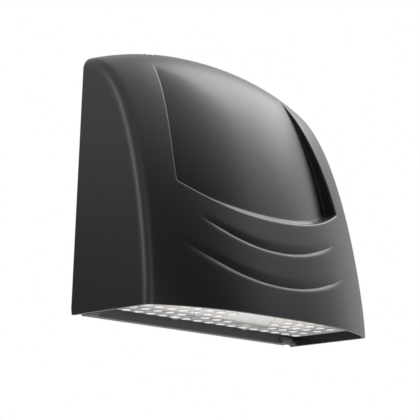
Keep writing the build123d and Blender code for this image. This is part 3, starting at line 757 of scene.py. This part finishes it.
def lightPlaces():
    # rows of lights; the rear one is shifted by half a pitch, and a field beside the screw
    # stays bare
    v = lens
    found = []
    for row, end in enumerate(v["rowEnds"]):
        x = v["pitch"] * (np.arange(-9, 10) + (0.5 if row == 0 else 0.0))
        gap = v["blankSecond"] if row == 1 else v["blank"]
        keep = np.abs(x) <= end
        if 0 < row < 4:
            keep &= ~((x > gap[0]) & (x < gap[1]))
        if row == 1:
            keep &= np.abs(x - v["screwX"]) > v["screwRoom"]
        y = v["firstRow"] - row * v["rowPitch"]
        found.append(np.stack([x[keep], np.full(keep.sum(), y)], axis=1))
    return np.concatenate(found)


def makeLens():
    # flat plate within the hood's outline; its lower face sinks by
    # domeHeight * (1 - (r / domeRadius)^2)^domePower round each light
    v = lens
    half = hood["width"] / 2 - v["inset"]
    radius = hood["edgeRadius"] - v["inset"]
    t, w = np.meshgrid(np.linspace(-1, 1, v["columns"]), np.linspace(0, 1, v["rows"]))
    x = t * half
    share = bisect(profileUp, v["up"][0] / heightAt(x, v["inset"]))
    over = np.maximum(np.abs(x) - (half - radius), 0)
    cornerCut = radius - np.sqrt(np.maximum(radius ** 2 - over ** 2, 0))
    front = depthAt(x, v["inset"]) * profileDepth(share) - cornerCut
    y = v["rear"] - w * (front + v["rear"])
    places = lightPlaces()
    reach = np.full(x.shape, 1e9)
    for lightX, lightY in places:
        reach = np.minimum(reach, (x - lightX) ** 2 + (y - lightY) ** 2)
    dome = v["domeHeight"] * np.maximum(1 - reach / v["domeRadius"] ** 2, 0) ** v["domePower"]
    lower = np.stack([x, y, v["up"][0] - dome], axis=-1)
    rows, cols = x.shape
    number = np.arange(rows * cols).reshape(rows, cols)
    loop = rimOf(number)
    rim = lower.reshape(-1, 3)[loop].copy()
    rim[:, 2] = v["up"][1]
    top = np.arange(len(loop)) + rows * cols
    sides = np.stack([loop, np.roll(loop, -1), np.roll(top, -1), top], axis=1)
    faces = [*gridFaces(rows, cols).tolist(), *sides.tolist(), top.tolist()]
    plate = (np.concatenate([lower.reshape(-1, 3), rim]), faces)
    ear, earY = v["ear"], (v["earY"] - v["ear"], v["earY"] + v["ear"])
    ears = [roundedBlock((x - ear, x + ear), earY, v["up"], ear - 0.01, v["earEdge"], 9) for x in v["earsAt"]]
    points, faces = joined(plate, *ears)
    print("lens domes:", len(places))
    replaced = ["lens_plate"]
    return addPiece("lens_cover", points, faces, "clearLensPaintedShadeAndHighlight", "hood", replaced, sharp=40)


mergeDoubles(makeLens())


# finishes of the nodes that keep their own shape
nodeFinish = {
    "back_plate": "plateCoatPaintedLight", "wall_gasket": "siliconeRubber", "housing_gasket": "siliconeRubber",
    "hinge_pins": "zincSteel", "wire_grommet": "siliconeRubber", "ground_screw": "greenScrew",
    "terminal_block": "terminalPlastic", "terminal_screws": "brassScrew", "quick_socket": "connectorNylon",
    "plate_leads": "leadSleeve", "heat_sink_tray": "castAluminium", "tray_screws": "zincSteel",
    "led_board": "boardMask", "led_chips": "phosphor", "lens_plate": "clearLensPaintedShadeAndHighlight",
    "lens_gasket": "siliconeRubber",
    "lens_screws": "zincSteel", "driver": "gearCase", "driver_screws": "zincSteel",
    "surge_protector": "surgeCase",
    "led_leads": "leadSleeve", "quick_plug": "connectorNylon", "supply_leads": "leadSleeve",
    "screw_seals": "siliconeRubber", "closing_screw_left": "zincSteel", "closing_screw_right": "zincSteel",
}
for node, finish in nodeFinish.items():
    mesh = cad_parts[node].data
    mesh.materials.clear()
    mesh.materials.append(materials[finish])
print("CAD nodes dressed:", len(nodeFinish))


studio = {
    "floorUp": -1.7, "floorSize": 14.0, "floorColour": (0.8, 0.8, 0.79),
    "floorFinish": {"rough": 0.8, "grain": 300.0, "patch": 2.0, "drift": 0.01},
    "cardFinish": {"rough": 0.95, "specular": 0.0, "grain": 60.0, "patch": 2.0},
    "world": 1.0,    # strength of the white room
    "cards": {    # turn from the front, distance, width, lower and upper edge, how pale
        "front_card": (3.5, 2.3, 3.8, -1.6, 2.0, 0.004),
        "left_card": (-73.0, 2.3, 1.2, -1.2, 1.5, 0.004),
        "back_card": (-134.0, 0.8, 1.0, -0.7, 0.2, 0.16),
    },
    "lamps": {    # place, target, size and power in watts
        "left_box": ((-2.1, 0.32, 1.15), (0, -0.05, 0), (0.42, 1.5), 13.0),
        "side_box": ((2.3, -0.4, 0.9), (0, -0.05, 0), (1.0, 1.6), 3.0),
        "under_box": ((-0.1, -0.3, -0.56), (0, -0.05, 0), (0.8, 0.8), 1.6),
        "low_box": ((-0.95, -1.1, -0.6), (0, -0.05, -0.1), (0.9, 0.9), 17.0),
        "right_box": ((1.8, -0.15, 1.85), (0, -0.05, 0), (1.5, 1.3), 26.0),
    },
}


def makeWorld():
    world = bpy.data.worlds.new("studio")    # a white room all round
    bpy.context.scene.world = world
    tree = Tree(world)
    back = tree.node("ShaderNodeBackground", None, {"Color": (1, 1, 1, 1), "Strength": studio["world"]})
    tree.node("ShaderNodeOutputWorld", None, {"Surface": back})


def makeSheet(name, corners, material):
    mesh = bpy.data.meshes.new(name)
    mesh.from_pydata(corners, [], [(0, 1, 2, 3)])
    sheet = bpy.data.objects.new(name, mesh)
    bpy.context.scene.collection.objects.link(sheet)
    mesh.materials.append(material)
    return sheet


def makeStage():
    # pale floor, and the cards that the coat mirrors: two dark ones in front and to the left,
    # and a paler one behind
    size, up = studio["floorSize"], studio["floorUp"]
    floor = finishMaterial("paleFloor", {"rgb": studio["floorColour"], **studio["floorFinish"]})
    corners = [(-size, -size, up), (size, -size, up), (size, size, up), (-size, size, up)]
    makeSheet("studio_floor", corners, floor)
    for name, (turn, distance, width, low, high, pale) in studio["cards"].items():
        cloth = finishMaterial(name, {"rgb": (pale, pale, pale), **studio["cardFinish"]})
        turn = math.radians(turn)
        middle = np.array([math.sin(turn), -math.cos(turn)]) * distance
        across = np.array([math.cos(turn), math.sin(turn)]) * width / 2
        ends = [middle - across, middle + across]
        corners = [(*ends[0], low), (*ends[1], low), (*ends[1], high), (*ends[0], high)]
        makeSheet(name, corners, cloth).visible_camera = False


def addLamp(name, place, target, size, power):
    data = bpy.data.lights.new(name, "AREA")
    data.shape = "RECTANGLE"
    data.size, data.size_y = size
    data.energy = power
    lamp = bpy.data.objects.new(name, data)
    lamp.location = place
    lamp.rotation_euler = (Vector(target) - Vector(place)).to_track_quat("-Z", "Y").to_euler()
    lamp.visible_camera = False
    bpy.context.scene.collection.objects.link(lamp)


def makeCamera():
    # The photograph's viewpoint: from the left and below, with a long lens.
    values = {"turn": math.radians(-47.05), "rise": math.radians(-12.06), "distance": 1.59546,
              "target": (0.0, -0.05, 0.0), "lens": 169.47, "shift": (-22.15 / 420, -19.15 / 420)}
    turn, rise = values["turn"], values["rise"]
    level = math.cos(rise)
    away = Vector((math.sin(turn) * level, -math.cos(turn) * level, math.sin(rise)))
    data = bpy.data.cameras.new("photo_camera")
    data.lens = values["lens"]
    data.sensor_width = 36.0
    data.shift_x, data.shift_y = values["shift"]
    camera = bpy.data.objects.new("photo_camera", data)
    camera.location = Vector(values["target"]) + away * values["distance"]
    camera.rotation_euler = (-away).to_track_quat("-Z", "Y").to_euler()
    bpy.context.scene.collection.objects.link(camera)
    bpy.context.scene.camera = camera


makeCamera()
makeWorld()
makeStage()
for lampName, lamp in studio["lamps"].items():
    addLamp(lampName, *lamp)
bpy.context.scene.view_settings.view_transform = "Standard"
print("studio ready")
